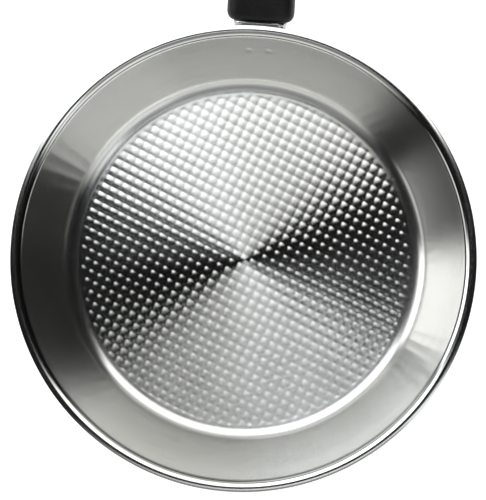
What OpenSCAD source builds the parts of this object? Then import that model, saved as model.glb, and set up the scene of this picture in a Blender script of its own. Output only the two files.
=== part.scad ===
// Frying pan of drawn stainless steel with a sandwich base and a screwed-on moulded handle.
// Origin: centre of the base's underside. +Z is up, and the handle points along +Y.

/* [Pan body] */
// Diameter over the flared pouring rim
rim_d = 290; // [280:5:310]
// Diameter of the flat cooking floor
floor_d = 217; // [206:1:222]
// Height of the rim above the table
pan_h = 54; // [52:1:60]
// Thickness of the drawn steel sheet
sheet_t = 1; // [0.8:0.1:1.2]
// Radius of the bend between floor and wall, inside
bend_r = 11.5; // [9:0.5:13]
// Radius of the wall's gentle curve, inside
wall_r = 300; // [200:50:600]
// Radius of the rim's flare, over its upper face
flare_r = 5.5; // [4.5:0.5:7]
// Width of the rim's flat lip, beyond the flare
lip_w = 2.6; // [2:0.2:3.4]

/* [Sandwich base] */
// Thickness of the aluminium core
core_t = 4.4; // [3:0.2:6]
// Thickness of the magnetic steel cap
cap_t = 0.8; // [0.6:0.1:1]
// Radius of the cap's outer bottom edge
cap_edge_r = 2; // [1.5:0.1:3]

/* [Handle] */
// Length of the grip
grip_l = 190; // [160:5:210]
// Width of the grip's thumb stop, next to the pan
stop_w = 42.5; // [38:0.5:44]
// Width of the grip at its waist
waist_w = 28; // [26:1:32]
// Width of the grip at its hanging end
end_w = 33; // [30:1:36]
// Rise of the handle out of the pan, in degrees
handle_rise = 18; // [12:1:22]
// Radius of the hole in the hanging eye
eye_r = 6.5; // [5:0.5:7]

/* [Neck] */
// Width of the flame guard at the grip
guard_w = 32; // [28:1:34]
// Height of the flame guard at the grip
guard_h = 17; // [17:1:20]
// How much wider and higher the guard is at the pan
guard_flare = 3; // [0:0.5:4]
// Thickness of the flame guard's sheet
guard_t = 0.8; // [0.6:0.1:1]

/* [Hidden] */
$fn = 96;
eps = 0.01;

steel = "silver";
cap_steel = "lightgray";
aluminium = "gainsboro";
phenolic = [0.05, 0.05, 0.055];
zinc = "darkgray";

// Pan body: the wall's arc touches the bend's from outside and the flare's from inside
floor_r = floor_d / 2;
shell_z = cap_t + core_t;
floor_z = shell_z + sheet_t;
bend_c = [floor_r, floor_z + bend_r];
flare_c = [rim_d / 2 - lip_w, pan_h - flare_r];
span = flare_c - bend_c;
to_bend = wall_r - bend_r;
to_flare = wall_r + flare_r;
along = (pow(to_bend, 2) - pow(to_flare, 2) + pow(norm(span), 2)) / (2 * norm(span));
aside = sqrt(pow(to_bend, 2) - pow(along, 2));
wall_c = bend_c + (along * span + aside * [-span.y, span.x]) / norm(span);
wall_from_a = atan2(bend_c.y - wall_c.y, bend_c.x - wall_c.x);
wall_to_a = atan2(flare_c.y - wall_c.y, flare_c.x - wall_c.x);
join_a = 0.02;

// Handle frame: its origin is the centre of the grip's front face, and +Y runs along the grip
stop_gap = 6;
handle_y = rim_d / 2 + stop_gap;
handle_z = pan_h - 14;

// Grip: a rounded nose, a thumb stop, a waist and a round end, along a gently falling arc
nose_l = 5.5;
nose_inset = [4, 2.3];
stop_h = 26;
waist_h = 20;
end_h = 15;
stop_l = 10;
waist_l = 55;
swell_l = grip_l - 30;
grip_power = 3;
arc_r = 840;
ring_sides = 40;
eye_s = grip_l - end_w / 2;
eye_wall = 1.5;
eye_proud = 0.1;

// Bracket, its nut and the screw that holds the grip
web_t = 2;
channel_w = 21;
flange_t = 1.5;
channel_h = 6;
tongue_l = 34;
foot = [28, 16];
foot_t = 1.5;
foot_corner_r = 4;
screw_s = 22;
screw_r = 2.5;
thread_gap = 0.04;
clearance_r = 2.75;
shank_l = 12;
head = [4.75, 3.3];
head_corner_r = 1;
recess = [6, 1.2, 2];
nut_flats = 8;
nut_h = 4;
washer = [5, 1];
lock_washer = [4.6, 1.2];
lock_washer_cut = 1;
pocket_gap = 0.5;
seat_z = -5;
bore_r = 5.3;
pocket_z = -web_t / 2;
bead_l = 2.4;
bead_out = 0.8;
guard_corner_r = 5;
guard_l = 36;
wall_gap = 0.2;

// --- 2D helpers ---------------------------------------------------------------------------

// Part of a ring about c, between the radii and between the angles
module ring_sector(c, r_in, r_out, from_a, to_a) {
    step = (to_a - from_a) / 4;
    translate(c) intersection() {
        difference() {
            circle(r_out);
            circle(r_in);
        }
        polygon([[0, 0], for (i = [0:4]) 2 * r_out * [cos(from_a + i * step), sin(from_a + i * step)]]);
    }
}

// Rectangle about the origin with round corners
module round_rect(w, h, r) {
    square([w - 2 * r, h], center = true);
    square([w, h - 2 * r], center = true);
    for (x = [-1, 1], y = [-1, 1]) translate([x * (w / 2 - r), y * (h / 2 - r)]) circle(r);
}

// --- Pan body -----------------------------------------------------------------------------

module shell_profile() {
    lip_tip = [rim_d / 2 - sheet_t / 2, pan_h - sheet_t / 2];
    translate([0, shell_z]) square([floor_r + eps, sheet_t]);
    ring_sector(bend_c, bend_r, bend_r + sheet_t, -90, wall_from_a);
    ring_sector(wall_c, wall_r, wall_r + sheet_t, wall_from_a - join_a, wall_to_a + join_a);
    ring_sector(flare_c, flare_r - sheet_t, flare_r, 90, wall_to_a + 180);
    translate([flare_c.x - eps, pan_h - sheet_t]) square([lip_tip.x - flare_c.x + eps, sheet_t]);
    translate(lip_tip) circle(sheet_t / 2);
}

module pan_shell() {
    color(steel) rotate_extrude() shell_profile();
}

// Everything inside the wall's outer face moved out by gap: it trims what stands against the pan
module pan_envelope(gap) {
    rotate_extrude() intersection() {
        translate(wall_c) circle(wall_r + sheet_t + gap);
        square([rim_d / 2, pan_h]);
    }
}

// --- Sandwich base ------------------------------------------------------------------------

// Disc profile with a rounded lower edge
module disc_profile(r, h, edge_r) {
    square([r - edge_r, h]);
    translate([0, edge_r]) square([r, h - edge_r]);
    ring_sector([r - edge_r, edge_r], 0, edge_r, -90, 0);
}

module base_core() {
    color(aluminium) translate([0, 0, cap_t])
        rotate_extrude() disc_profile(floor_r - cap_t, core_t, cap_edge_r - cap_t);
}

module base_cap() {
    color(cap_steel) difference() {
        rotate_extrude() disc_profile(floor_r, shell_z, cap_edge_r);
        translate([0, 0, cap_t])
            rotate_extrude() disc_profile(floor_r - cap_t, shell_z, cap_edge_r - cap_t);
    }
}

// --- Handle frame and neck ----------------------------------------------------------------

module in_handle_frame() {
    translate([0, handle_y, handle_z]) rotate([handle_rise, 0, 0]) children();
}

// Upright cylinder at a distance s along the grip, from z0 to z1
module post(s, r, z0, z1) {
    translate([0, s, z0]) cylinder(r = r, h = z1 - z0);
}

// U-shaped tongue, open upwards, that reaches from the wall into the grip
module bracket_channel() {
    difference() {
        translate([-channel_w / 2, -guard_l, pocket_z]) cube([channel_w, guard_l + tongue_l, channel_h]);
        translate([flange_t - channel_w / 2, -guard_l - eps, pocket_z + web_t])
            cube([channel_w - 2 * flange_t, guard_l + tongue_l + 2 * eps, channel_h]);
        post(screw_s, clearance_r, pocket_z - eps, pocket_z + web_t + eps);
    }
}

module handle_bracket() {
    wall_out_r = wall_r + sheet_t;
    color(steel) difference() {
        union() {
            in_handle_frame() bracket_channel();
            intersection() {
                rotate_extrude() ring_sector(wall_c, wall_out_r, wall_out_r + foot_t, wall_from_a, wall_to_a);
                in_handle_frame() rotate([90, 0, 0])
                    linear_extrude(guard_l) round_rect(foot.x, foot.y, foot_corner_r);
            }
        }
        pan_envelope(0);
    }
}

module bracket_nut() {
    color(zinc) in_handle_frame() translate([0, screw_s, pocket_z + web_t]) difference() {
        cylinder(d = nut_flats / cos(30), h = nut_h, $fn = 6);
        translate([0, 0, -eps]) cylinder(r = screw_r, h = nut_h + 2 * eps);
    }
}

// Tapered sleeve along -Y, shrunk all round by inset
module guard_sleeve(inset) {
    $fn = 32;
    w = guard_w - 2 * inset;
    h = guard_h - 2 * inset;
    rotate([90, 0, 0])
        linear_extrude(guard_l, scale = [(w + guard_flare) / w, (h + guard_flare) / h])
            round_rect(w, h, guard_corner_r - inset);
}

module guard_bead() {
    rotate([90, 0, 0]) linear_extrude(bead_l)
        round_rect(guard_w + 2 * bead_out, guard_h + 2 * bead_out, guard_corner_r + bead_out);
}

module flame_guard() {
    color(steel) difference() {
        in_handle_frame() difference() {
            union() {
                guard_sleeve(0);
                guard_bead();
            }
            translate([0, eps, 0]) guard_sleeve(guard_t);
        }
        pan_envelope(wall_gap);
    }
}

// --- Grip ---------------------------------------------------------------------------------

function blend(a, b, from_s, to_s, s) =
    let (t = min(1, max(0, (s - from_s) / (to_s - from_s))))
    a + (b - a) * t * t * (3 - 2 * t);
function three_step(stop, waist, end, s) =
    blend(stop, waist, stop_l, waist_l, s) + blend(0, end - waist, waist_l, swell_l, s);
function nose_cut(s) = s >= nose_l ? 0 : 1 - sqrt(1 - pow(1 - s / nose_l, 2));
function tail(s) = max(0, (s - eye_s) / (grip_l - eye_s));

// Half width and half height of the grip at a distance s from its front face
function half_w(s) = (three_step(stop_w, waist_w, end_w, s) / 2 - nose_inset.x * nose_cut(s)) * sqrt(1 - pow(tail(s), 2));
function half_h(s) = (three_step(stop_h, waist_h, end_h, s) / 2 - nose_inset.y * nose_cut(s)) * sqrt(1 - 0.7 * pow(tail(s), 2));

// Grip centreline: point and fall angle at s
function fall(s) = s / arc_r * 180 / PI;
function centre(s) = arc_r * [0, sin(fall(s)), cos(fall(s)) - 1];

function rounded(v) = sign(v) * pow(abs(v), 2 / grip_power);
function grip_ring(s) = [for (i = [0:ring_sides - 1])
    let (a = i * 360 / ring_sides, x = half_w(s) * rounded(cos(a)), z = half_h(s) * rounded(sin(a)))
    centre(s) + [x, z * sin(fall(s)), z * cos(fall(s))]];

nose_stations = [for (a = [0:18:72]) nose_l * (1 - cos(a))];
body_stations = [for (s = [nose_l:7:eye_s]) s];
tail_stations = [for (a = [0:12:84]) eye_s + (grip_l - eye_s) * sin(a)];
stations = concat(nose_stations, body_stations, tail_stations);

module grip_body() {
    rings = len(stations);
    points = [for (s = stations) each grip_ring(s)];
    sides = [for (k = [0:rings - 2], i = [0:ring_sides - 1])
        let (a = k * ring_sides, b = a + ring_sides, j = (i + 1) % ring_sides)
        [a + i, a + j, b + j, b + i]];
    front = [[for (i = [ring_sides - 1:-1:0]) i]];
    back = [[for (i = [0:ring_sides - 1]) (rings - 1) * ring_sides + i]];
    polyhedron(points, concat(sides, front, back));
}

// Children stand upright on the grip's centreline at s
module on_grip(s) {
    translate(centre(s)) rotate([-fall(s), 0, 0]) children();
}

module grip() {
    reach = stop_h;
    color(phenolic) in_handle_frame() difference() {
        grip_body();
        translate([-channel_w / 2 - pocket_gap, -1, pocket_z])
            cube([channel_w + 2 * pocket_gap, tongue_l + 1 + pocket_gap, channel_h + pocket_gap]);
        post(screw_s, clearance_r, -reach, 0);
        post(screw_s, bore_r, -reach, seat_z);
        on_grip(eye_s) translate([0, 0, -reach / 2]) cylinder(r = eye_r + eye_wall, h = reach);
    }
}

module hanging_eye() {
    length = end_h + 2 * eye_proud;
    color(steel) in_handle_frame() on_grip(eye_s) translate([0, 0, -length / 2]) difference() {
        cylinder(r = eye_r + eye_wall, h = length);
        translate([0, 0, -eps]) cylinder(r = eye_r, h = length + 2 * eps);
    }
}

// --- Fasteners ----------------------------------------------------------------------------

module screw_head() {
    difference() {
        rotate_extrude() disc_profile(head.x, head.y, head_corner_r);
        for (turn = [0, 90]) rotate(turn) translate([-recess.x / 2, -recess.y / 2, -eps]) cube(recess);
    }
}

module handle_screw() {
    under_head = seat_z - washer[1] - lock_washer[1];
    color(zinc) in_handle_frame() {
        post(screw_s, screw_r - thread_gap, under_head, under_head + shank_l);
        translate([0, screw_s, under_head - head.y]) screw_head();
    }
}

module washer_ring(r_out, h) {
    difference() {
        cylinder(r = r_out, h = h);
        translate([0, 0, -eps]) cylinder(r = clearance_r, h = h + 2 * eps);
    }
}

module flat_washer() {
    color(zinc) in_handle_frame() translate([0, screw_s, seat_z - washer[1]])
        washer_ring(washer[0], washer[1]);
}

module spring_washer() {
    color(zinc) in_handle_frame() translate([0, screw_s, seat_z - washer[1] - lock_washer[1]]) difference() {
        washer_ring(lock_washer[0], lock_washer[1]);
        rotate([0, 20, 0]) translate([-lock_washer_cut / 2, 0, -2]) cube([lock_washer_cut, 6, 6]);
    }
}

pan_shell();
base_core();
base_cap();
handle_bracket();
bracket_nut();
flame_guard();
grip();
handle_screw();
flat_washer();
spring_washer();
hanging_eye();
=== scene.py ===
"""Looks of a stainless-steel frying pan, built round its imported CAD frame. Metres, +Z up, handle along +Y."""

from math import atan2, cos, hypot, pi, radians, sin, sqrt

import bpy
import numpy as np
from mathutils import Matrix, Vector
from mathutils.geometry import delaunay_2d_cdt


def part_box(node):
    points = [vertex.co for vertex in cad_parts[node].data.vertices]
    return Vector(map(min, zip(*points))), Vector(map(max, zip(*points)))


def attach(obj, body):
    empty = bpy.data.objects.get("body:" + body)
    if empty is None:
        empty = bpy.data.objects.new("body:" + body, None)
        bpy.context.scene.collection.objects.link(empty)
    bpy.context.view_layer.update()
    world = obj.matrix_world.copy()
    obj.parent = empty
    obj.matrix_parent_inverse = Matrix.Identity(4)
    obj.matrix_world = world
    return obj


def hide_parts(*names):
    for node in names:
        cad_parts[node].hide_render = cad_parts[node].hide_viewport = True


MM = 0.001

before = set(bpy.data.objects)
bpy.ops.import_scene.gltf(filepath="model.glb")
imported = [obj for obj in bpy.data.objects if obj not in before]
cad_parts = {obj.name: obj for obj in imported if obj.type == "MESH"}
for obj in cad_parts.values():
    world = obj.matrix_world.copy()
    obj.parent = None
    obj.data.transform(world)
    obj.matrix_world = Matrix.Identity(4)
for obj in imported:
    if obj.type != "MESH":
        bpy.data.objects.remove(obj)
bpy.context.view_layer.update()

# --- Sizes, read from the frame where it shows them, else the CAD's own -------------------------

shell_low, shell_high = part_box("pan_shell")
RIM_R = shell_high.x
PAN_H = shell_high.z
SHELL_Z = shell_low.z
FLOOR_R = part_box("base_cap")[1].x
SHEET = 1 * MM
BEND_R = 11.5 * MM
WALL_R = 300 * MM
FLARE_R = 5.5 * MM
LIP_W = 2.6 * MM
CAP_T = 0.8 * MM
CAP_EDGE_R = 2 * MM
FLOOR_Z = SHELL_Z + SHEET

# The wall's arc touches the bend's from outside and the flare's from inside
bend_c = Vector((FLOOR_R, FLOOR_Z + BEND_R))
flare_c = Vector((RIM_R - LIP_W, PAN_H - FLARE_R))
span = flare_c - bend_c
to_bend = WALL_R - BEND_R
to_flare = WALL_R + FLARE_R
along = (to_bend ** 2 - to_flare ** 2 + span.length_squared) / (2 * span.length)
aside = sqrt(to_bend ** 2 - along ** 2)
wall_c = bend_c + (along * span + aside * Vector((-span.y, span.x))) / span.length
WALL_FROM = atan2(bend_c.y - wall_c.y, bend_c.x - wall_c.x)
WALL_TO = atan2(flare_c.y - wall_c.y, flare_c.x - wall_c.x)

# Handle frame: its origin is the centre of the grip's front face, and +Y runs along the grip
HANDLE_RISE = radians(18)
HANDLE_OUT, HANDLE_DROP = 6 * MM, 14 * MM
handle_at = Vector((0, RIM_R + HANDLE_OUT, PAN_H - HANDLE_DROP))
handle_frame = Matrix.Translation(handle_at) @ Matrix.Rotation(HANDLE_RISE, 4, "X")

GRIP_L = 190 * MM
STOP_W, WAIST_W, END_W = 42.5 * MM, 28 * MM, 33 * MM
STOP_H, WAIST_H, END_H = 26 * MM, 20 * MM, 15 * MM
STOP_L, WAIST_L, SWELL_L = 10 * MM, 55 * MM, GRIP_L - 30 * MM
NOSE_L = 5.5 * MM
NOSE_INSET = (4 * MM, 2.3 * MM)
GRIP_POWER = 3
ARC_R = 840 * MM
EYE_S = GRIP_L - END_W / 2
EYE_R = 6.5 * MM
EYE_WALL = 1.5 * MM
EYE_L = 15.2 * MM
EYE_ROUND = 0.6 * MM
EYE_SIDES = 96

CHANNEL_W = 21 * MM
CHANNEL_H = 6 * MM
TONGUE_L = 34 * MM
POCKET_Z = -1 * MM
POCKET_GAP = 0.5 * MM
SCREW_S = 22 * MM
CLEARANCE_R = 2.75 * MM
BORE_R = 5.3 * MM
SEAT_Z = -5 * MM
OVERCUT = 1 * MM

GUARD_W, GUARD_H = 32 * MM, 17 * MM
GUARD_FLARE = 3 * MM
GUARD_T = 0.8 * MM
GUARD_CORNER = 5 * MM
GUARD_L = 36 * MM
BEAD_L, BEAD_OUT = 2.4 * MM, 0.8 * MM
BEAD_STEPS = 12
WALL_GAP = 0.2 * MM


# --- Meshes -------------------------------------------------------------------------------------

def mesh_object(name, points, faces, materials, face_zone=None, sharp=40):
    """New object from points and faces, smooth but for edges sharper than the angle."""
    mesh = bpy.data.meshes.new(name)
    mesh.from_pydata([tuple(p) for p in points], [], [tuple(f) for f in faces])
    for material in materials:
        mesh.materials.append(material)
    if face_zone is not None:
        mesh.polygons.foreach_set("material_index", face_zone)
    mesh.shade_smooth()
    mesh.set_sharp_from_angle(angle=radians(sharp))
    mesh.validate()
    obj = bpy.data.objects.new(name, mesh)
    bpy.context.scene.collection.objects.link(obj)
    return obj


def place(obj, node):
    """The object stands for a CAD node, whose part it hides, and rides on the one body."""
    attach(obj, "root")
    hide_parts(node)
    return obj


def arc(centre, radius, from_a, to_a, steps):
    """Points along an arc in a (radius, height) section, both ends included."""
    return [Vector((centre.x + radius * cos(a), centre.y + radius * sin(a)))
            for a in np.linspace(from_a, to_a, steps + 1)]


def band(a, b, n):
    """Quads between two closed rings of n points, whose first points are a and b."""
    return [(a + i, a + (i + 1) % n, b + (i + 1) % n, b + i) for i in range(n)]


def bands(rings, n, first=0):
    """Quads between rings of n points each, whose points follow one another from first."""
    return [face for row in range(rings - 1) for face in band(first + row * n, first + (row + 1) * n, n)]


def lathe(section, segments, first=0):
    """Points and quads of a section revolved about Z. The faces count their points from first."""
    turns = [2 * pi * i / segments for i in range(segments)]
    points = [(p.x * cos(t), p.x * sin(t), p.y) for p in section for t in turns]
    return points, bands(len(section), segments, first)


def loft(rings):
    """Points and quads of rings that all have the same number of points."""
    return [p for ring in rings for p in ring], bands(len(rings), len(rings[0]))


def disc(first, n):
    """One face over the ring of n points that starts at first, turned the other way round."""
    return tuple(range(first + n - 1, first - 1, -1))


# --- Shader helpers -----------------------------------------------------------------------------

class Nodes:
    """Short ways to add and join nodes in one tree."""

    def __init__(self, tree):
        self.tree = tree

    def add(self, kind, inputs=(), **settings):
        node = self.tree.nodes.new(kind)
        for name, value in settings.items():
            setattr(node, name, value)
        for key, value in dict(inputs).items():
            if isinstance(value, bpy.types.NodeSocket):
                self.tree.links.new(value, node.inputs[key])
            else:
                node.inputs[key].default_value = value
        return node

    def math(self, operation, a, b=0.0, c=0.0):
        return self.add("ShaderNodeMath", {0: a, 1: b, 2: c}, operation=operation).outputs[0]

    def vector(self, operation, a, b=(0, 0, 0)):
        return self.add("ShaderNodeVectorMath", {0: a, 1: b}, operation=operation)

    def fade(self, value, low, high, to_low=0.0, to_high=1.0):
        """Smooth step of a value from low to high."""
        return self.add("ShaderNodeMapRange", {"Value": value, "From Min": low, "From Max": high,
                                               "To Min": to_low, "To Max": to_high},
                        interpolation_type="SMOOTHSTEP").outputs["Result"]

    def noise(self, at, scale, detail=2.0, roughness=0.5):
        return self.add("ShaderNodeTexNoise", {"Vector": at, "Scale": scale, "Detail": detail,
                                               "Roughness": roughness}).outputs["Fac"]

    def tint(self, dark, light, factor):
        """Colour between two others."""
        return self.add("ShaderNodeMix", {"A": (*dark, 1), "B": (*light, 1), "Factor": factor},
                        data_type="RGBA").outputs["Result"]

    def bump(self, height, distance, normal=None):
        inputs = {"Height": height, "Distance": distance, "Strength": 1.0}
        if normal:
            inputs["Normal"] = normal
        return self.add("ShaderNodeBump", inputs).outputs["Normal"]


def new_material(name, **settings):
    """Material with a Principled shader whose uniform values are set on its own sockets."""
    material = bpy.data.materials.new(name)
    material.use_nodes = True
    shader = material.node_tree.nodes["Principled BSDF"]
    for key, value in settings.items():
        shader.inputs[key.replace("_", " ")].default_value = value
    return material, Nodes(material.node_tree), shader


def link(nodes, shader, **sockets):
    """Outputs joined to the shader's sockets of those names."""
    for key, value in sockets.items():
        nodes.tree.links.new(value, shader.inputs[key.replace("_", " ")])


# Brushed lines about the pan's axis: how many to a metre across, and how often they break off in a turn
FINE_LINES, FINE_BREAKS = 5200, 9
COARSE_LINES, COARSE_BREAKS = 900, 5
# Lines to a metre across and along the scratches of plain steel
SCRATCHES = (2600, 240, 2600)
# Spots to a metre: uneven gloss of brushed steel, of plain steel and of the grip, and the grip's grain
BRUSHED_CLOUD, PLAIN_CLOUD, WEAR = 26, 60, 22
GRAIN, FLECK = 2600, 900
SCRATCH_DEPTH = 0.01 * MM
GRAIN_DEPTH = 0.035 * MM
# The spot welds of the handle's foot, seen from inside
WELD_R = 3.2 * MM
WELD_X, WELD_Y, WELD_DROP = 6.2 * MM, 131 * MM, 16 * MM
WELD_DEPTH = 0.25 * MM


def scaled(colour, by):
    """The colour made darker or lighter."""
    return [min(1, c * by) for c in colour]


def turned_lines(nodes, across, outward, per_metre, breaks):
    """Noise stretched into circles about the pan's axis: fine across, long around."""
    way = nodes.add("ShaderNodeSeparateXYZ", {0: outward})
    at = nodes.add("ShaderNodeCombineXYZ", {"X": nodes.math("MULTIPLY", across, per_metre),
                                            "Y": nodes.math("MULTIPLY", way.outputs["X"], breaks),
                                            "Z": nodes.math("MULTIPLY", way.outputs["Y"], breaks)})
    return at.outputs[0]


def weld_marks(nodes, position):
    """Two faint round dents, where the handle's foot is spot-welded to the wall."""
    marks = 0.0
    for x in (-WELD_X, WELD_X):
        at = (x, WELD_Y, PAN_H - WELD_DROP)
        distance = nodes.vector("DISTANCE", position, at).outputs["Value"]
        marks = nodes.math("ADD", nodes.fade(distance, 0.4 * WELD_R, WELD_R, 1.0, 0.0), marks)
    return marks


def brushed_steel(name, colour, roughness, anisotropy, line_depth, welds=False):
    """Steel turned or brushed in circles about the pan's axis."""
    material, nodes, shader = new_material(name, Metallic=1.0, Anisotropic=anisotropy)
    position = nodes.add("ShaderNodeNewGeometry").outputs["Position"]
    flat = nodes.vector("MULTIPLY", position, (1, 1, 0)).outputs[0]
    radius = nodes.vector("LENGTH", flat).outputs["Value"]
    outward = nodes.vector("NORMALIZE", flat).outputs[0]
    height = nodes.add("ShaderNodeSeparateXYZ", {0: position}).outputs["Z"]
    across = nodes.math("ADD", radius, height)
    fine = nodes.noise(turned_lines(nodes, across, outward, FINE_LINES, FINE_BREAKS), 1.0, 2.0)
    coarse = nodes.noise(turned_lines(nodes, across, outward, COARSE_LINES, COARSE_BREAKS), 1.0, 3.0)
    cloud = nodes.noise(position, BRUSHED_CLOUD, 3.0)

    lines = nodes.math("MULTIPLY_ADD", fine, 0.6, nodes.math("MULTIPLY", coarse, 0.4))
    base = nodes.tint(scaled(colour, 0.93), scaled(colour, 1.05), nodes.fade(lines, 0.3, 0.7))
    # Both noises lie about 0.5, so that their mean, 0.08, is taken off again
    uneven = nodes.math("MULTIPLY_ADD", lines, 0.10, nodes.math("MULTIPLY", cloud, 0.06))
    rough = nodes.math("ADD", uneven, roughness - 0.08)
    normal = nodes.bump(lines, line_depth)
    if welds:
        normal = nodes.bump(weld_marks(nodes, position), WELD_DEPTH, normal)
    link(nodes, shader, Base_Color=base, Roughness=rough, Normal=normal, Tangent=outward)
    return material


def plain_steel(name, colour, roughness):
    """Pressed or plated steel with faint scratches and uneven gloss."""
    material, nodes, shader = new_material(name, Metallic=1.0)
    position = nodes.add("ShaderNodeNewGeometry").outputs["Position"]
    scratch = nodes.noise(nodes.vector("MULTIPLY", position, SCRATCHES).outputs[0], 1.0, 3.0)
    cloud = nodes.noise(position, PLAIN_CLOUD, 3.0)
    base = nodes.tint(scaled(colour, 0.9), colour, nodes.fade(cloud, 0.35, 0.65))
    uneven = nodes.math("MULTIPLY_ADD", cloud, 0.10, roughness - 0.11)
    rough = nodes.math("MULTIPLY_ADD", scratch, 0.12, uneven)
    link(nodes, shader, Base_Color=base, Roughness=rough, Normal=nodes.bump(scratch, SCRATCH_DEPTH))
    return material


def moulded_phenolic(name):
    """Black moulded phenolic: fine matt grain, slightly polished by handling."""
    material, nodes, shader = new_material(name, IOR=1.55, Specular_IOR_Level=0.25)
    position = nodes.add("ShaderNodeNewGeometry").outputs["Position"]
    grain = nodes.noise(position, GRAIN, 2.0)
    fleck = nodes.noise(position, FLECK, 3.0, 0.6)
    wear = nodes.noise(position, WEAR, 3.0)
    base = nodes.tint((0.003, 0.003, 0.0034), (0.009, 0.009, 0.0095), nodes.fade(fleck, 0.35, 0.7))
    rough = nodes.math("MULTIPLY_ADD", grain, 0.10, nodes.math("MULTIPLY_ADD", wear, 0.16, 0.25))
    link(nodes, shader, Base_Color=base, Roughness=rough, Normal=nodes.bump(grain, GRAIN_DEPTH))
    return material


STEEL = (0.66, 0.66, 0.645)
# Name, colour, roughness, how strongly brushed, and the depth of the brushed lines
steel_floor = brushed_steel("steel_floor", STEEL, 0.19, 1.0, 0.0007 * MM)
steel_bend = brushed_steel("steel_bend", STEEL, 0.2, 0.9, 0.0005 * MM)
steel_wall = brushed_steel("steel_wall", STEEL, 0.17, 0.88, 0.0015 * MM, welds=True)
steel_rim = brushed_steel("steel_rim", STEEL, 0.12, 0.3, 0.0003 * MM)
steel_outside = brushed_steel("steel_outside", STEEL, 0.2, 0.5, 0.003 * MM)
steel_cap = brushed_steel("steel_cap", (0.58, 0.58, 0.57), 0.3, 0.7, 0.004 * MM)
core_metal = brushed_steel("core_aluminium", (0.8, 0.81, 0.82), 0.35, 0.4, 0.004 * MM)
neck_steel = plain_steel("neck_steel", (0.68, 0.68, 0.67), 0.18)
bracket_steel = plain_steel("bracket_steel", (0.56, 0.56, 0.56), 0.36)
zinc = plain_steel("zinc_plate", (0.62, 0.64, 0.66), 0.3)
phenolic = moulded_phenolic("phenolic")


# --- Pan body -----------------------------------------------------------------------------------

PITCH = 6 * MM
LATTICE_TURN = radians(67)
PAD_R = 2.6 * MM
PAD_SLOPE = 0.066
EMBOSS_R = 108 * MM
EMBOSS_FADE = 2.5 * MM
# Mesh lines across one pad, from its middle: closest together at the seam
PAD_LINES = (-2.6 * MM, -1.75 * MM, -0.9 * MM, 0, 0.9 * MM, 1.75 * MM, 2.6 * MM, 3 * MM)
EDGE_R = 108.2 * MM
EDGE_MARGIN = 0.45 * MM
SEGMENTS = 320
AXIS_R = 0.1 * MM
# Zones of the sheet, each the place of its finish in the pan body's list of materials
IN_FLOOR, IN_BEND, IN_WALL, IN_RIM, OUTSIDE = range(5)


def pad_fall(t):
    """Fall of a pad along one axis: its slope grows evenly, then comes back to nothing at the seam."""
    t = np.abs((t / PITCH + 0.5) % 1 - 0.5) * PITCH
    seam = PITCH / 2 - PAD_R
    beyond = np.clip(t - PAD_R, 0, None)
    return PAD_SLOPE * (np.minimum(t, PAD_R) ** 2 / (2 * PAD_R) + beyond - beyond ** 2 / (2 * seam))


def emboss_height(x, y):
    """Height of the cooking floor over its plane: shallow round pads in a square lattice."""
    u = x * cos(LATTICE_TURN) + y * sin(LATTICE_TURN)
    v = y * cos(LATTICE_TURN) - x * sin(LATTICE_TURN)
    inside = np.clip((EMBOSS_R - np.hypot(x, y)) / EMBOSS_FADE, 0, 1)
    inside = inside * inside * (3 - 2 * inside)
    return -inside * (pad_fall(u) + pad_fall(v))


def floor_mesh():
    """Points and triangles of the embossed floor, with its edge points first."""
    count = int(EDGE_R / PITCH) + 1
    lines = np.add.outer(np.arange(-count, count + 1) * PITCH, PAD_LINES).ravel()
    u, v = np.meshgrid(lines, lines)
    x = u * cos(LATTICE_TURN) - v * sin(LATTICE_TURN)
    y = u * sin(LATTICE_TURN) + v * cos(LATTICE_TURN)
    inner = np.hypot(x, y) < EDGE_R - EDGE_MARGIN
    turns = np.arange(SEGMENTS) * 2 * pi / SEGMENTS
    flat = np.concatenate([np.stack([EDGE_R * np.cos(turns), EDGE_R * np.sin(turns)], 1),
                           np.stack([x[inner], y[inner]], 1)])
    edge = [(i, (i + 1) % SEGMENTS) for i in range(SEGMENTS)]
    _, _, faces, came_from, _, _ = delaunay_2d_cdt([Vector(p) for p in flat], edge, [], 1, 1e-7)
    order = np.array([source[0] for source in came_from])
    triangles = order[np.array([tuple(f) for f in faces])]
    z = FLOOR_Z + emboss_height(flat[:, 0], flat[:, 1])
    return np.column_stack([flat, z]).tolist(), triangles.tolist()


def pan_section():
    """The sheet's section from the floor's edge, up the inside, round the lip and down the outside."""
    section = []
    zones = []

    def run(points, zone):
        section.extend(points)
        zones.extend([zone] * len(points))

    tip_c = Vector((RIM_R - SHEET / 2, PAN_H - SHEET / 2))
    run([Vector((EDGE_R, FLOOR_Z))], IN_FLOOR)
    run(arc(bend_c, BEND_R, -pi / 2, WALL_FROM, 14)[:-1], IN_BEND)
    run(arc(wall_c, WALL_R, WALL_FROM, WALL_TO, 8)[:-1], IN_WALL)
    run(arc(flare_c, FLARE_R, WALL_TO + pi, pi / 2, 14), IN_RIM)
    run(arc(tip_c, SHEET / 2, pi / 2, -pi / 2, 6), IN_RIM)
    run(arc(flare_c, FLARE_R - SHEET, pi / 2, WALL_TO + pi, 8)[:-1], OUTSIDE)
    run(arc(wall_c, WALL_R + SHEET, WALL_TO, WALL_FROM, 6)[:-1], OUTSIDE)
    run(arc(bend_c, BEND_R + SHEET, WALL_FROM, -pi / 2, 10), OUTSIDE)
    run([Vector((0.5 * FLOOR_R, SHELL_Z)), Vector((AXIS_R, SHELL_Z))], OUTSIDE)
    return section, zones


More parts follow.
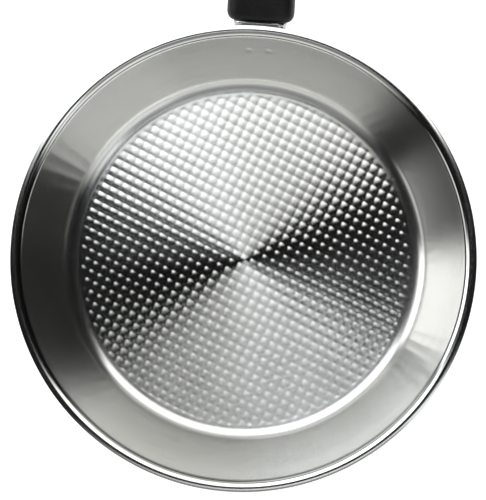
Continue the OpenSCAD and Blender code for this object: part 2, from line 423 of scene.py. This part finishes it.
def pan_body():
    """The drawn bowl as one piece, with a finish for each of its zones."""
    floor_points, floor_faces = floor_mesh()
    section, zones = pan_section()
    turned, sides = lathe(section[1:], SEGMENTS, first=len(floor_points))
    first_row = band(0, len(floor_points), SEGMENTS)
    points = floor_points + turned
    centre = disc(len(points) - SEGMENTS, SEGMENTS)
    faces = floor_faces + first_row + sides + [centre]
    face_zones = [IN_FLOOR] * len(floor_faces) + [IN_BEND] * SEGMENTS
    face_zones += [zone for zone in zones[1:-1] for _ in range(SEGMENTS)] + [OUTSIDE]
    materials = [steel_floor, steel_bend, steel_wall, steel_rim, steel_outside]
    body = mesh_object("pan_body", points, faces, materials, face_zones, sharp=50)
    return place(body, "pan_shell")


# --- Sandwich base ------------------------------------------------------------------------------

GROOVES = 9
GROOVE_STEP = 10 * MM
GROOVE_W = 1.6 * MM
GROOVE_D = 0.35 * MM
# Places across a groove, as parts of its width
GROOVE_STATIONS = (-0.5, -0.3, -0.12, 0, 0.12, 0.3, 0.5)
CENTRE_R = 6 * MM


def base_cap():
    """Pressed cup round the core, with turned grooves in its flat underside."""
    edge_c = Vector((FLOOR_R - CAP_EDGE_R, CAP_EDGE_R))
    section = [Vector((AXIS_R, GROOVE_D)), Vector((CENTRE_R - GROOVE_D, GROOVE_D)), Vector((CENTRE_R, 0))]
    for i in range(1, GROOVES + 1):
        middle = CENTRE_R + i * GROOVE_STEP
        section += [Vector((middle + t * GROOVE_W, GROOVE_D * cos(pi * t) ** 2)) for t in GROOVE_STATIONS]
    section += arc(edge_c, CAP_EDGE_R, -pi / 2, 0, 8)
    section += [Vector((FLOOR_R, SHELL_Z)), Vector((FLOOR_R - CAP_T, SHELL_Z))]
    section += arc(edge_c, CAP_EDGE_R - CAP_T, 0, -pi / 2, 4)
    section += [Vector((AXIS_R, CAP_T))]
    points, faces = lathe(section, SEGMENTS)
    faces += [tuple(range(SEGMENTS)), disc(len(points) - SEGMENTS, SEGMENTS)]
    return place(mesh_object("base_cup", points, faces, [steel_cap], sharp=35), "base_cap")


# --- Neck ---------------------------------------------------------------------------------------

def round_rect(width, height, radius, corner_steps=10, side_steps=6):
    """Points round a rectangle with round corners, in the (x, z) plane about the origin."""
    corners = []
    for turn, (x, z) in enumerate(((1, 1), (-1, 1), (-1, -1), (1, -1))):
        centre = Vector((x * (width / 2 - radius), z * (height / 2 - radius)))
        corners.append(arc(centre, radius, turn * pi / 2, (turn + 1) * pi / 2, corner_steps))
    points = []
    for corner, following in zip(corners, corners[1:] + corners[:1]):
        points += corner
        points += [corner[-1].lerp(following[0], i / side_steps) for i in range(1, side_steps)]
    return points


def off_wall(point):
    """Distance of a point in world space outside the wall's outer face."""
    return (Vector((hypot(point.x, point.y), point.z)) - wall_c).length - WALL_R - SHEET


def to_wall(front, back):
    """Where the line from front to back, both in the handle's frame, comes within the gap of the wall."""
    near, far = 0.0, 1.0
    for _ in range(30):
        middle = (near + far) / 2
        if off_wall(handle_frame @ front.lerp(back, middle)) > WALL_GAP:
            near = middle
        else:
            far = middle
    return front.lerp(back, near)


def sleeve_lines(inset):
    """Pairs of points: each line of the tapered sleeve at the grip, and at the pan's wall."""
    width, height = GUARD_W - 2 * inset, GUARD_H - 2 * inset
    grow = ((width + GUARD_FLARE) / width, (height + GUARD_FLARE) / height)
    lines = []
    for p in round_rect(width, height, GUARD_CORNER - inset):
        front = Vector((p.x, 0, p.y))
        back = Vector((p.x * grow[0], -GUARD_L, p.y * grow[1]))
        lines.append((front, to_wall(front, back)))
    return lines


def bead_rings():
    """Rings of the round bead that stiffens the sleeve's edge at the grip."""
    rings = []
    for a in np.linspace(0, pi, BEAD_STEPS + 1):
        out = BEAD_OUT * sin(a)
        y = -BEAD_L * (1 - cos(a)) / 2
        taper = GUARD_FLARE * -y / GUARD_L
        outline = round_rect(GUARD_W + taper + 2 * out, GUARD_H + taper + 2 * out, GUARD_CORNER + out)
        rings.append([Vector((p.x, y, p.y)) for p in outline])
    return rings


def neck_sleeve():
    """Flame guard: a tapered sleeve round the bracket, cut to the pan's wall."""
    outer, inner = sleeve_lines(0), sleeve_lines(GUARD_T)
    rings = bead_rings()
    begin = rings[-1]
    for t in (0.25, 0.5, 0.75, 1):
        rings.append([a.lerp(b, t) for a, (_, b) in zip(begin, outer)])
    for t in (1, 0.5, 0):
        rings.append([a.lerp(b, t) for a, b in inner])
    points, faces = loft([[handle_frame @ p for p in ring] for ring in rings])
    faces += band(len(points) - len(outer), 0, len(outer))
    sleeve = mesh_object("neck_sleeve", points, faces, [neck_steel], sharp=50)
    return place(sleeve, "flame_guard")


# --- Grip ---------------------------------------------------------------------------------------

GRIP_SIDES = 96
# Roundness of the tail seen from the side: 1 would bring its height to nothing at the tip
TAIL_THIN = 0.7
# The mould's parting line, a fine groove down both sides: heights across it, and how deep it is there
PART_LINE = ((-0.32 * MM, 0), (-0.14 * MM, 0.14 * MM), (0.14 * MM, 0.14 * MM), (0.32 * MM, 0))


def blend(a, b, low, high, s):
    """Smooth change from a to b as s goes from low to high."""
    t = min(1, max(0, (s - low) / (high - low)))
    return a + (b - a) * t * t * (3 - 2 * t)


def three_step(stop, waist, end, s):
    """A measure of the grip at s, from its values at the thumb stop, the waist and the end."""
    return blend(stop, waist, STOP_L, WAIST_L, s) + blend(0, end - waist, WAIST_L, SWELL_L, s)


def half_sizes(s):
    """Half width and half height of the grip at a distance s from its front face."""
    nose = 0 if s >= NOSE_L else 1 - sqrt(1 - (1 - s / NOSE_L) ** 2)
    tail = min(1, max(0, (s - EYE_S) / (GRIP_L - EYE_S)))
    half_w = three_step(STOP_W, WAIST_W, END_W, s) / 2 - NOSE_INSET[0] * nose
    half_w *= sqrt(1 - tail ** 2)
    half_h = three_step(STOP_H, WAIST_H, END_H, s) / 2 - NOSE_INSET[1] * nose
    half_h *= sqrt(1 - TAIL_THIN * tail ** 2)
    return half_w, half_h


def on_centreline(s):
    """Matrix from a frame that stands on the grip's falling centreline at s to the world."""
    fall = s / ARC_R
    at = Vector((0, ARC_R * sin(fall), ARC_R * (cos(fall) - 1)))
    return handle_frame @ Matrix.Translation(at) @ Matrix.Rotation(-fall, 4, "X")


def grip_ring(s):
    """Superellipse round the grip at s, with the parting line's groove at either side."""
    half_w, half_h = half_sizes(s)
    right = [(half_w * (1 - (abs(z) / half_h) ** GRIP_POWER) ** (1 / GRIP_POWER) - depth, z)
             for z, depth in PART_LINE]
    left = [(-x, z) for x, z in reversed(right)]
    turns = np.linspace(0, pi, GRIP_SIDES // 2 + 1)[1:-1]
    top = [(half_w * np.sign(cos(a)) * abs(cos(a)) ** (2 / GRIP_POWER), half_h * sin(a) ** (2 / GRIP_POWER))
           for a in turns]
    bottom = [(-x, -z) for x, z in top]
    stand = on_centreline(s)
    return [stand @ Vector((x, 0, z)) for x, z in right + top + left + bottom]


def grip_stations():
    """Distances of the grip's rings from its front face, closer together at both ends."""
    nose = [NOSE_L * (1 - cos(a)) for a in np.linspace(0, radians(84), 13)]
    body = list(np.linspace(NOSE_L, EYE_S, 66))
    tail = [EYE_S + (GRIP_L - EYE_S) * sin(a) for a in np.linspace(radians(4), radians(88), 22)]
    return nose + body + tail


def rod(name, matrix, radius, low, high, sides=64):
    """Closed upright cylinder in the frame of the matrix, for cutting holes."""
    turns = [2 * pi * i / sides for i in range(sides)]
    points = [matrix @ Vector((radius * cos(t), radius * sin(t), z)) for z in (low, high) for t in turns]
    faces = band(0, sides, sides) + [disc(0, sides), tuple(range(sides, 2 * sides))]
    return mesh_object(name, points, faces, [])


def block(name, matrix, low, high):
    """Closed box in the frame of the matrix, for cutting pockets."""
    (x1, y1, z1), (x2, y2, z2) = low, high
    corners = [Vector((x, y, z)) for z in (z1, z2) for y in (y1, y2) for x in (x1, x2)]
    faces = [(0, 2, 3, 1), (4, 5, 7, 6), (0, 1, 5, 4), (2, 6, 7, 3), (0, 4, 6, 2), (1, 3, 7, 5)]
    return mesh_object(name, [matrix @ c for c in corners], faces, [])


def cut(body, tool):
    """The tool is taken out of the body, and then deleted."""
    modifier = body.modifiers.new("cut", "BOOLEAN")
    modifier.operation = "DIFFERENCE"
    modifier.solver = "EXACT"
    modifier.object = tool
    graph = bpy.context.evaluated_depsgraph_get()
    cut_mesh = bpy.data.meshes.new_from_object(body.evaluated_get(graph))
    body.modifiers.clear()
    body.data = cut_mesh
    bpy.data.objects.remove(tool)


def moulded_grip():
    """The grip with its tongue pocket, its screw's two-step bore and its hanging hole."""
    rings = [grip_ring(s) for s in grip_stations()]
    points, faces = loft(rings)
    n = len(rings[0])
    faces = [tuple(reversed(f)) for f in faces]
    faces += [tuple(range(n)), disc(len(points) - n, n)]
    body = mesh_object("moulded_grip", points, faces, [phenolic])
    half = CHANNEL_W / 2 + POCKET_GAP
    cut(body, block("pocket", handle_frame, (-half, -OVERCUT, POCKET_Z),
                    (half, TONGUE_L + POCKET_GAP, POCKET_Z + CHANNEL_H + POCKET_GAP)))
    screw_at = handle_frame @ Matrix.Translation((0, SCREW_S, 0))
    cut(body, rod("screw_way", screw_at, CLEARANCE_R, -STOP_H, 0))
    cut(body, rod("head_way", screw_at, BORE_R, -STOP_H, SEAT_Z))
    cut(body, rod("eye_way", on_centreline(EYE_S), EYE_R + EYE_WALL, -STOP_H / 2, STOP_H / 2, EYE_SIDES))
    body.data.shade_smooth()
    body.data.set_sharp_from_angle(angle=radians(40))
    return place(body, "grip")


def eyelet():
    """Steel tube that lines the hanging hole, with rounded ends."""
    high = EYE_L / 2 - EYE_ROUND
    outer, inner = EYE_R + EYE_WALL - EYE_ROUND, EYE_R + EYE_ROUND
    section = []
    for quarter, corner in enumerate(((outer, high), (inner, high), (inner, -high), (outer, -high))):
        section += arc(Vector(corner), EYE_ROUND, quarter * pi / 2, (quarter + 1) * pi / 2, 6)
    points, faces = lathe(section, EYE_SIDES)
    faces += band(len(points) - EYE_SIDES, 0, EYE_SIDES)
    stand = on_centreline(EYE_S)
    points = [stand @ Vector(p) for p in points]
    return place(mesh_object("eyelet", points, faces, [neck_steel], sharp=60), "hanging_eye")


CARRIED = {"base_core": core_metal, "handle_bracket": bracket_steel, "bracket_nut": zinc,
           "handle_screw": zinc, "flat_washer": zinc, "spring_washer": zinc}

pan_body()
base_cap()
neck_sleeve()
moulded_grip()
eyelet()
for node, material in CARRIED.items():
    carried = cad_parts[node]
    carried.data.materials.clear()
    carried.data.materials.append(material)


# --- Studio -------------------------------------------------------------------------------------

# The camera stands almost straight above the pan, a little to the right of it and in front
CAMERA_ROLL = radians(4.2)
CAMERA_UP = Vector((-sin(CAMERA_ROLL), cos(CAMERA_ROLL), 0))
CAMERA_RIGHT = Vector((cos(CAMERA_ROLL), sin(CAMERA_ROLL), 0))
# Where it looks and where it stands, each to the right of the pan's axis and up the picture
AIM_RIGHT, AIM_UP = 0.6 * MM, 4.6 * MM
STAND_RIGHT, STAND_UP = 38 * MM, -32 * MM
DISTANCE = 1.0
VIEW_HEIGHT = 0.31
SENSOR = 36


def make_camera():
    """Camera above the pan, turned so that the handle leans a little to the right of upright."""
    aim = Vector((0, 0, PAN_H)) + AIM_RIGHT * CAMERA_RIGHT + AIM_UP * CAMERA_UP
    stand = Vector((0, 0, PAN_H + DISTANCE)) + STAND_RIGHT * CAMERA_RIGHT + STAND_UP * CAMERA_UP
    back = (stand - aim).normalized()
    right = CAMERA_UP.cross(back).normalized()
    up = back.cross(right)
    data = bpy.data.cameras.new("camera")
    data.sensor_width = SENSOR
    data.lens = SENSOR * (stand - aim).length / VIEW_HEIGHT
    camera = bpy.data.objects.new("camera", data)
    camera.matrix_world = Matrix.Translation(stand) @ Matrix((right, up, back)).transposed().to_4x4()
    bpy.context.scene.collection.objects.link(camera)
    bpy.context.scene.camera = camera


# Soft panels round the pan: azimuth and its half width, elevation and its half height, and softness,
# in degrees, then brightness and colour
PANELS = [
    # Back, high and low
    (72, 27, 68, 26, 8, 2.3, (0.99, 1.0, 0.98)),
    (126, 27, 68, 26, 8, 2.8, (0.97, 1.0, 1.02)),
    (132, 24, 52, 8, 8, 0.8, (0.97, 1.0, 1.02)),
    (74, 24, 28, 14, 12, 0.6, (1.0, 1.0, 0.96)),
    (124, 26, 20, 12, 12, 0.9, (1.0, 1.0, 0.96)),
    # Left: the bright one that whitens the wall's right end, and its faint edge
    (170, 14, 31, 18, 10, 2.9, (1.0, 1.0, 1.0)),
    (198, 14, 18, 8, 10, 1.2, (1.0, 1.0, 1.0)),
    # Front, high and low
    (276, 46, 84, 8, 6, 1.3, (0.97, 1.0, 1.01)),
    (276, 52, 58, 22, 12, 0.3, (0.97, 1.0, 1.01)),
    (328, 9, 72, 18, 6, 1.3, (0.97, 1.0, 1.01)),
    (283, 54, 26, 12, 14, 1.0, (1.0, 1.0, 0.97)),
    (316, 20, 40, 9, 10, 0.5, (1.0, 1.0, 0.97)),
    # Below the horizon, for the underside
    (70, 60, -56, 30, 24, 1.2, (1.0, 1.0, 1.0)),
    (250, 60, -52, 30, 24, 0.7, (1.0, 1.0, 1.0)),
]
# The panels that stand above GAP_ABOVE degrees leave a dark strip across the zenith, which makes the
# floor's two dark wedges. It runs along GAP_TURN, and each edge fades between two distances from the
# zenith, as sines of the angle.
GAP_TURN = radians(11.5)
GAP_BACK = (0.126, 0.15)
GAP_FRONT = (-0.17, -0.13)
GAP_ABOVE = 45
# Brightness of the room between the panels, above and below the horizon
DARK = 0.004
FROM_BELOW = 0.3
HORIZON = (-4, 0)

STAGE_R = 6.0
STAGE_DROP = 0.3 * MM
STAGE_SEGMENTS = 96
STAGE_GREY = 0.85
# How bright the floor is by itself to the camera, and in the steel's reflections
FLOOR_SEEN = 0.75
FLOOR_GLOW = 0.35


def make_world():
    """Dark room with soft panels round the pan. The camera itself sees plain white."""
    world = bpy.data.worlds.new("studio")
    bpy.context.scene.world = world
    world.use_nodes = True
    nodes = Nodes(world.node_tree)
    world.node_tree.nodes.clear()
    way = nodes.add("ShaderNodeTexCoord").outputs["Generated"]
    xyz = nodes.add("ShaderNodeSeparateXYZ", {0: way}).outputs
    turn = nodes.math("DEGREES", nodes.math("ARCTAN2", xyz["Y"], xyz["X"]))
    rise = nodes.math("DEGREES", nodes.math("ARCSINE", xyz["Z"]))
    room = nodes.fade(rise, *HORIZON, FROM_BELOW, DARK)
    total = nodes.add("ShaderNodeCombineXYZ", {"X": room, "Y": room, "Z": room}).outputs[0]
    off_gap = nodes.vector("DOT_PRODUCT", way, (-sin(GAP_TURN), cos(GAP_TURN), 0)).outputs["Value"]
    behind_gap = nodes.fade(off_gap, *GAP_BACK)
    before_gap = nodes.fade(off_gap, *GAP_FRONT, 1, 0)
    beside_gap = nodes.math("ADD", behind_gap, before_gap)
    for azimuth, half_w, elevation, half_h, soft, level, colour in PANELS:
        from_middle = nodes.math("WRAP", nodes.math("SUBTRACT", turn, azimuth), 180, -180)
        off_turn = nodes.math("ABSOLUTE", from_middle)
        off_rise = nodes.math("ABSOLUTE", nodes.math("SUBTRACT", rise, elevation))
        across = nodes.fade(off_turn, half_w - soft / 2, half_w + soft / 2, 1, 0)
        down = nodes.fade(off_rise, half_h - soft / 2, half_h + soft / 2, 1, 0)
        shape = nodes.math("MULTIPLY", across, down)
        if elevation > GAP_ABOVE:
            shape = nodes.math("MULTIPLY", shape, beside_gap)
        glow = nodes.math("MULTIPLY", shape, level)
        light = nodes.add("ShaderNodeVectorMath", {0: colour, "Scale": glow}, operation="SCALE")
        total = nodes.vector("ADD", light.outputs[0], total).outputs[0]
    studio = nodes.add("ShaderNodeBackground", {"Color": total, "Strength": 1.0})
    plain = nodes.add("ShaderNodeBackground", {"Color": (1, 1, 1, 1), "Strength": 1.0})
    seen = nodes.add("ShaderNodeLightPath").outputs["Is Camera Ray"]
    both = nodes.add("ShaderNodeMixShader", {0: seen, 1: studio.outputs[0], 2: plain.outputs[0]})
    nodes.add("ShaderNodeOutputWorld", {"Surface": both.outputs[0]})


def make_floor():
    """Pale floor, open where the base stands and clear from below, so that the underside can be seen."""
    section = [Vector((STAGE_R, -STAGE_DROP)), Vector((FLOOR_R - CAP_EDGE_R, -STAGE_DROP))]
    points, faces = lathe(section, STAGE_SEGMENTS)
    material, nodes, shader = new_material("studio_floor", Roughness=0.9, Emission_Color=(1, 1, 1, 1),
                                           Base_Color=(STAGE_GREY, STAGE_GREY, STAGE_GREY, 1))
    seen = nodes.add("ShaderNodeLightPath").outputs["Is Camera Ray"]
    link(nodes, shader, Emission_Strength=nodes.fade(seen, 0, 1, FLOOR_GLOW, FLOOR_SEEN))
    clear = nodes.add("ShaderNodeBsdfTransparent").outputs[0]
    back = nodes.add("ShaderNodeNewGeometry").outputs["Backfacing"]
    either = nodes.add("ShaderNodeMixShader", {0: back, 1: shader.outputs[0], 2: clear}).outputs[0]
    nodes.tree.links.new(either, nodes.tree.nodes["Material Output"].inputs["Surface"])
    mesh_object("studio_floor", points, faces, [material])


make_camera()
make_world()
make_floor()
bpy.context.scene.view_settings.view_transform = "Standard"
